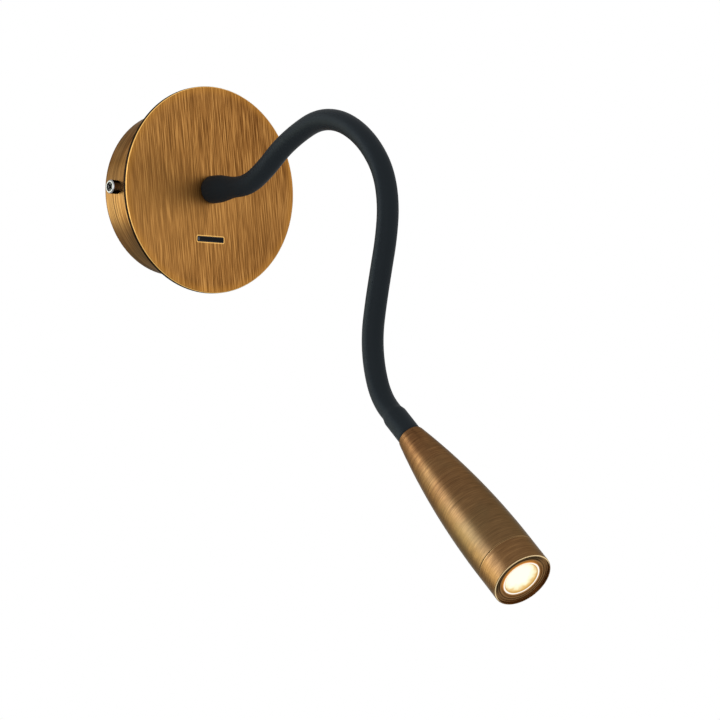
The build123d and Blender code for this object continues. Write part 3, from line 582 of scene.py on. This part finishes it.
def screwFinish():
    made, graph, shader = newFinish("screwChrome", {"Metallic": 1.0,
                                                    "Specular Tint": (0.4, 0.4, 0.4)})
    x, y, z = split(graph, localPlace(graph, (0, -screwLook["depth"], 0)))
    reach = (y * y + z * z) ** 0.5
    outwards = x.math("ABSOLUTE", x)
    grain = graph.noise(localPlace(graph), 1500.0, 3.0, 0.6)
    inDish = 1 - graph.smooth(reach, screwLook["rimInside"] - 0.0001, screwLook["rimInside"])
    onFloor = graph.smooth(outwards, screwLook["floor"] - 0.00005, screwLook["floor"])
    bandMask = 1 - graph.smooth(z.math("ABSOLUTE", z), screwLook["band"],
                                screwLook["band"] + 0.0008)
    side = 1 - graph.smooth(outwards, screwLook["floor"] - 0.0001, screwLook["floor"])
    color = graph.blendColors(grain * 0.3, screwLook["bright"], screwLook["recessShade"])
    color = graph.blendColors(inDish * onFloor, color, screwLook["recessShade"])
    # Painted reflection: the side dark above and below its middle band
    darkReflection = side * (1 - bandMask * (1 - inDish))
    graph.feed(shader.inputs["Base Color"], graph.blendColors(darkReflection, color, screwLook["darkReflection"]))
    graph.feed(shader.inputs["Roughness"], (grain - 0.5) * 0.10 + 0.16)
    return made


chrome = screwFinish()
rubber = plainFinish("neckRubber", (0.0142, 0.0186, 0.0222), 0.50, speckle=0.16, grain=1600.0,
                     bump=0.12, extra={"Specular IOR Level": 0.045})
zinc = plainFinish("zincSteel", (0.34, 0.345, 0.355), 0.50, metallic=1.0, speckle=0.3, grain=500.0)
woundSteel = plainFinish("woundSteel", (0.30, 0.31, 0.33), 0.38, metallic=1.0, speckle=0.2)
turnedBrass = plainFinish("turnedBrass", (0.68, 0.47, 0.19), 0.28, metallic=1.0, speckle=0.12)
mattBlack = plainFinish("housingBlack", (0.020, 0.020, 0.021), 0.55, speckle=0.15, bump=0.2,
                        extra={"Specular IOR Level": 0.3})
whitePlastic = plainFinish("whitePlastic", (0.72, 0.72, 0.69), 0.48, speckle=0.05, bump=0.15)
laminate = plainFinish("greenLaminate", (0.03, 0.16, 0.06), 0.45, speckle=0.2)
jacket = plainFinish("leadJacket", (0.022, 0.022, 0.023), 0.50, speckle=0.12)
brownWire = plainFinish("brownWire", (0.12, 0.045, 0.018), 0.42, speckle=0.08)
blueWire = plainFinish("blueWire", (0.02, 0.09, 0.36), 0.42, speckle=0.08)
aluminium = plainFinish("plainAluminium", (0.72, 0.73, 0.74), 0.32, metallic=1.0, speckle=0.08)
mirrorBowl = plainFinish("mirrorBowl", (0.86, 0.86, 0.85), 0.10, metallic=1.0, speckle=0.02)


# Rocker: gloss black, with a painted highlight across its sunken left end and a painted glint at the
# lower corner of its raised right end
def rockerFinish():
    made, graph, shader = newFinish("rockerGloss", {"Specular IOR Level": 0.10})
    x, y, z = split(graph, localPlace(graph, (0, 0, -plateLook["slotDrop"])))
    grain = graph.noise(localPlace(graph), 1200.0, 2.0, 0.5)
    end = between(graph, x, -0.00680, -0.00630, 0.0004)
    corner = graph.smooth(x - z * 0.5, 0.0070, 0.0074)
    color = graph.blendColors(grain * 0.5, (0.0030, 0.0030, 0.0042), (0.0075, 0.0078, 0.0100))
    # Painted highlight at the left end, and a painted glint at the lower right corner
    color = graph.blendColors(end * 0.8, color, (0.120, 0.150, 0.210))
    graph.feed(shader.inputs["Base Color"], graph.blendColors(corner, color, (0.55, 0.60, 0.62)))
    graph.feed(shader.inputs["Roughness"], (grain - 0.5) * 0.06 + 0.16)
    return made


glossBlack = rockerFinish()


# Lens, lit from behind: pale over most of it, amber in a crescent along one side, then a thin
# darker line and the bright rim
lensLook = {
    "hot": (1.0, 0.985, 0.86),
    "warm": (1.0, 0.93, 0.60),
    "amber": (0.76, 0.47, 0.14),
    "line": (0.50, 0.28, 0.07),
    "rim": (1.0, 0.96, 0.86),
    "crescentSide": (0.78, -0.62),
    "crescentShift": 0.0022,
}


def litLens():
    made, graph, shader = newFinish("litLens", {
        "Base Color": (0.05, 0.04, 0.03), "Roughness": 0.12, "Specular IOR Level": 0.2,
        "Emission Strength": 1.0})
    place = localPlace(graph, headStart, headTilt)
    x, y, z = split(graph, place)
    reach = (x * x + y * y) ** 0.5
    grain = graph.noise(place, 360.0, 2.0, 0.5)
    toX, toY = lensLook["crescentSide"]
    shiftX, shiftY = toX * lensLook["crescentShift"], toY * lensLook["crescentShift"]
    offX, offY = x + shiftX, y + shiftY
    away = (offX * offX + offY * offY) ** 0.5 + (grain - 0.5) * 0.0044
    warm = graph.smooth(away, 0.0046, 0.0078)
    crescent = graph.smooth(away, 0.0064, 0.0098)
    color = graph.blendColors(warm, lensLook["hot"], lensLook["warm"])
    color = graph.blendColors(crescent, color, lensLook["amber"])
    line = between(graph, reach, 0.00785, 0.00815, 0.0002)
    rim = graph.smooth(reach, 0.00820, 0.00835)
    color = graph.blendColors(line * 0.7, color, lensLook["line"])
    graph.feed(shader.inputs["Emission Color"], graph.blendColors(rim, color, lensLook["rim"]))
    return made


def litEmitter():
    made, graph, shader = newFinish("litEmitter", {
        "Base Color": (0.95, 0.75, 0.25), "Roughness": 0.4, "Emission Strength": 2.0})
    grain = graph.noise(localPlace(graph), 900.0)
    graph.feed(shader.inputs["Emission Color"],
               graph.blendColors(grain, (1.0, 0.90, 0.62), (1.0, 0.95, 0.75)))
    return made


lens = litLens()
emitter = litEmitter()

finishes = {
    plateBrass: ["front_plate"],
    drumBrass: ["canopy_drum"],
    headBrass: ["head_shell"],
    ringBrass: ["front_ring"],
    chrome: ["side_screws"],
    zinc: ["wall_bracket", "plate_screws", "terminal_screws", "earth_tag", "earth_screw",
           "neck_lock_washer", "neck_nut", "board_screws"],
    turnedBrass: ["neck_base_fitting", "head_fitting", "switch_tabs"],
    glossBlack: ["rocker_paddle"],
    mattBlack: ["rocker_housing"],
    whitePlastic: ["driver_case", "driver_cover", "terminal_block"],
    laminate: ["driver_board"],
    brownWire: ["live_wire", "switch_wire"],
    blueWire: ["neutral_wire"],
    aluminium: ["heat_sink", "led_board"],
    mirrorBowl: ["reflector"],
    emitter: ["led_emitter"],
    lens: ["lens"],
}
for finish, names in finishes.items():
    for name in names:
        mesh = nodes[name].data
        mesh.materials.clear()
        mesh.materials.append(finish)
print("finishes given to", sum(len(names) for names in finishes.values()), "nodes")

# The neck: rubber sleeve, wound core and lead. Each piece runs from the middle of one link to the
# middle of the next, and is curved through the pivot between them.
leadLook = {"bendRadius": 0.0036, "bendSteps": 8, "intoHead": 0.0758}
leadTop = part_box("output_lead")[1].z
leadDepth = -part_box("output_lead")[1].y + neck["leadRadius"]


# The lead's way inside the drum: down beside the driver, then out towards the plate
def leadInDrum():
    radius = leadLook["bendRadius"]
    points = [Vector((0, -leadDepth, leadTop)), Vector((0, -leadDepth, (leadTop + radius) / 2))]
    for step in range(leadLook["bendSteps"] + 1):
        turn = math.pi / 2 * step / leadLook["bendSteps"]
        points.append(Vector((0, -leadDepth - radius * (1 - math.cos(turn)),
                              radius * (1 - math.sin(turn)))))
    points.append(Vector((0, (-leadDepth - radius - plateFace) / 2, 0)))
    return points


cuts = [0.0] + [pivot + halfLink for pivot in pivotAt[:-1]] + [neckEnd]
tube = tubeTree()
coil = coilTree()
for number in range(linkCount + 1):
    low, high = cuts[number], cuts[number + 1]
    first, last = number == 0, number == linkCount
    ending = "base" if first else "head" if last else str(number)
    room = neck["firstRoom"] if first else neck["lastRoom"] if last else neck["linkRoom"]
    bendFrom = neckPoint(pivotAt[number] - room)
    bendTo = neckPoint(pivotAt[number] + room)

    stations = distancesBetween(low + neck["endGap"] if first else low,
                                high - neck["endGap"] if last else high, neck["step"])
    path = pathObject(f"sleeve_{ending}", [neckPoint(station) for station in stations],
                      [sleeveGirth(station) for station in stations])
    sleeve = grow(path, tube, {"Sides": 64, "Closed Ends": False, "Finish": rubber},
                  wall=neck["sleeveWall"])

    stations = distancesBetween(low + 0.003 if first else low, high - 0.003 if last else high,
                                neck["step"])
    path = pathObject(f"core_{ending}", [neckPoint(station) for station in stations],
                      [neck["coilRadius"]] * len(stations))
    turns = (stations[-1] - stations[0]) / neck["coilPitch"]
    core = grow(path, coil, {"Steps": round(turns * 20), "Turn Pitch": neck["coilPitch"],
                             "Coil Radius": neck["coilRadius"],
                             "Wire Radius": neck["wireRadius"], "Finish": woundSteel})

    stations = distancesBetween(low, neckEnd + leadLook["intoHead"] if last else high,
                                2 * neck["step"])
    points = (leadInDrum() if first else []) + [neckPoint(station) for station in stations]
    path = pathObject(f"lead_{ending}", points, [neck["leadRadius"]] * len(points))
    lead = grow(path, tube, {"Sides": 16, "Closed Ends": True, "Finish": jacket})

    for piece, slot in ((sleeve, "neck_rubber"), (core, "wound_steel"), (lead, "lead_jacket")):
        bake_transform(piece)
    layerName = "base" if first else str(number)
    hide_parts(f"neck_sleeve_{layerName}")
    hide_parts(f"neck_core_{layerName}")
    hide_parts("output_lead" if first else f"neck_lead_{number}")
    if last:
        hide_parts("neck_sleeve_head")
        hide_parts("neck_core_head")
        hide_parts("head_lead")
print("neck made of", linkCount + 1, "lengths of sleeve, core and lead")

# Floor, well below the lamp: it fades into the white room at its edge and doesn't show from below
floorLook = {"height": -1.3, "radius": 3.0, "fadeFrom": 1.6, "fadeTo": 2.8,
             "color": (0.86, 0.86, 0.86)}


def floorFinish():
    made = plainFinish("paleFloor", floorLook["color"], 0.7, speckle=0.01)
    graph = Graph(made.node_tree)
    x, y, z = split(graph, localPlace(graph))
    reach = (x * x + y * y) ** 0.5
    below = Sock(graph, graph.node("ShaderNodeNewGeometry").out.node.outputs["Backfacing"])
    faded = graph.smooth(reach, floorLook["fadeFrom"], floorLook["fadeTo"])
    solid = Sock(graph, made.node_tree.nodes["Principled BSDF"].outputs[0])
    clear = graph.node("ShaderNodeBsdfTransparent")
    mixed = graph.node("ShaderNodeMixShader", None, faded.math("MAXIMUM", faded, below), solid,
                       clear)
    graph.feed(made.node_tree.nodes["Material Output"].inputs["Surface"], mixed)
    return made


floorMesh = bpy.data.meshes.new("floor")
around = [2 * math.pi * number / 96 for number in range(96)]
floorMesh.from_pydata([(floorLook["radius"] * math.cos(a), floorLook["radius"] * math.sin(a),
                        floorLook["height"]) for a in around], [], [list(range(96))])
floor = bpy.data.objects.new("floor", floorMesh)
scene.collection.objects.link(floor)
floorMesh.materials.append(floorFinish())

# Studio: a white room with three brighter soft boxes and a faint one, which only gloss mirrors
softBoxes = [
    {"heading": -140, "height": 22, "inner": 2, "outer": 17, "tint": (2.7, 2.7, 2.0)},
    {"heading": -125, "height": 15, "inner": 3, "outer": 22, "tint": (3.7, 4.5, 5.8)},
    {"heading": -135, "height": -10, "inner": 3, "outer": 26, "tint": (4.3, 4.7, 3.6)},
    {"heading": -54, "height": -6, "inner": 6, "outer": 26, "tint": (1.2, 1.2, 1.2)},
]
roomLevel = 0.80


def headingVector(heading, height):
    a, e = math.radians(heading), math.radians(height)
    return Vector((math.sin(a) * math.cos(e), -math.cos(a) * math.cos(e), math.sin(e)))


world = bpy.data.worlds.new("studio")
world.use_nodes = True
scene.world = world
sky = Graph(world.node_tree)
direction = sky.node("ShaderNodeTexCoord", None, out=0)
rays = sky.node("ShaderNodeLightPath").out.node.outputs
mirrored = Sock(sky, rays["Is Glossy Ray"]) + Sock(sky, rays["Is Transmission Ray"])
level = mirrored + (1 - mirrored) * roomLevel
light = sky.node("ShaderNodeCombineXYZ", None, level, level, level)
for softBox in softBoxes:
    towards = sky.node("ShaderNodeVectorMath", {"operation": "DOT_PRODUCT"}, direction,
                       headingVector(softBox["heading"], softBox["height"]), out=1)
    share = sky.smooth(towards, math.cos(math.radians(softBox["outer"])),
                       math.cos(math.radians(softBox["inner"]))) * mirrored
    glare = sky.node("ShaderNodeVectorMath", {"operation": "SCALE"}, softBox["tint"],
                     named={"Scale": share})
    light = sky.node("ShaderNodeVectorMath", {"operation": "ADD"}, light, glare)
seen = Sock(sky, rays["Is Camera Ray"])
background = world.node_tree.nodes["Background"]
sky.feed(background.inputs["Color"], sky.blendColors(seen, light, (1.0, 1.0, 1.0)))
sky.feed(background.inputs["Strength"], 1.0)

lamps = [
    {"name": "keyLamp", "place": (-1.3, -0.9, 0.5), "size": 0.9, "power": 1.4},
    {"name": "fillLamp", "place": (1.3, -1.2, 0.2), "size": 1.0, "power": 1.2},
]
lampAim = Vector((0, -0.12, -0.05))
for look in lamps:
    light = bpy.data.lights.new(look["name"], "AREA")
    light.size = look["size"]
    light.energy = look["power"]
    lamp = bpy.data.objects.new(look["name"], light)
    lamp.location = look["place"]
    lamp.rotation_euler = (lampAim - lamp.location).to_track_quat("-Z", "Y").to_euler()
    scene.collection.objects.link(lamp)

# Camera at the angle of the photograph, found from the outlines of plate, drum and slot
cameraLook = {"azimuth": -38.3423, "elevation": -2.7729, "roll": 0.754, "lens": 180.0,
              "distance": 1.7365481, "across": -0.07172, "up": 0.0821092}
a, e = math.radians(cameraLook["azimuth"]), math.radians(cameraLook["elevation"])
backward = Vector((math.sin(a) * math.cos(e), -math.cos(a) * math.cos(e), math.sin(e)))
level0 = Vector((math.cos(a), math.sin(a), 0))
upright = backward.cross(level0)
roll = math.radians(cameraLook["roll"])
sideways = level0 * math.cos(roll) + upright * math.sin(roll)
upward = upright * math.cos(roll) - level0 * math.sin(roll)
cameraData = bpy.data.cameras.new("camera")
cameraData.lens = cameraLook["lens"]
cameraData.sensor_width = 36.0
cameraData.clip_end = 30.0
camera = bpy.data.objects.new("camera", cameraData)
turnMatrix = Matrix((sideways, upward, backward)).transposed()
camera.matrix_world = Matrix.Translation(
    Vector((0, -plateFace, 0)) - sideways * cameraLook["across"] - upward * cameraLook["up"]
    + backward * cameraLook["distance"]) @ turnMatrix.to_4x4()
scene.collection.objects.link(camera)
scene.camera = camera
scene.view_settings.view_transform = "Standard"
print("camera stands at", [round(value, 4) for value in camera.location])
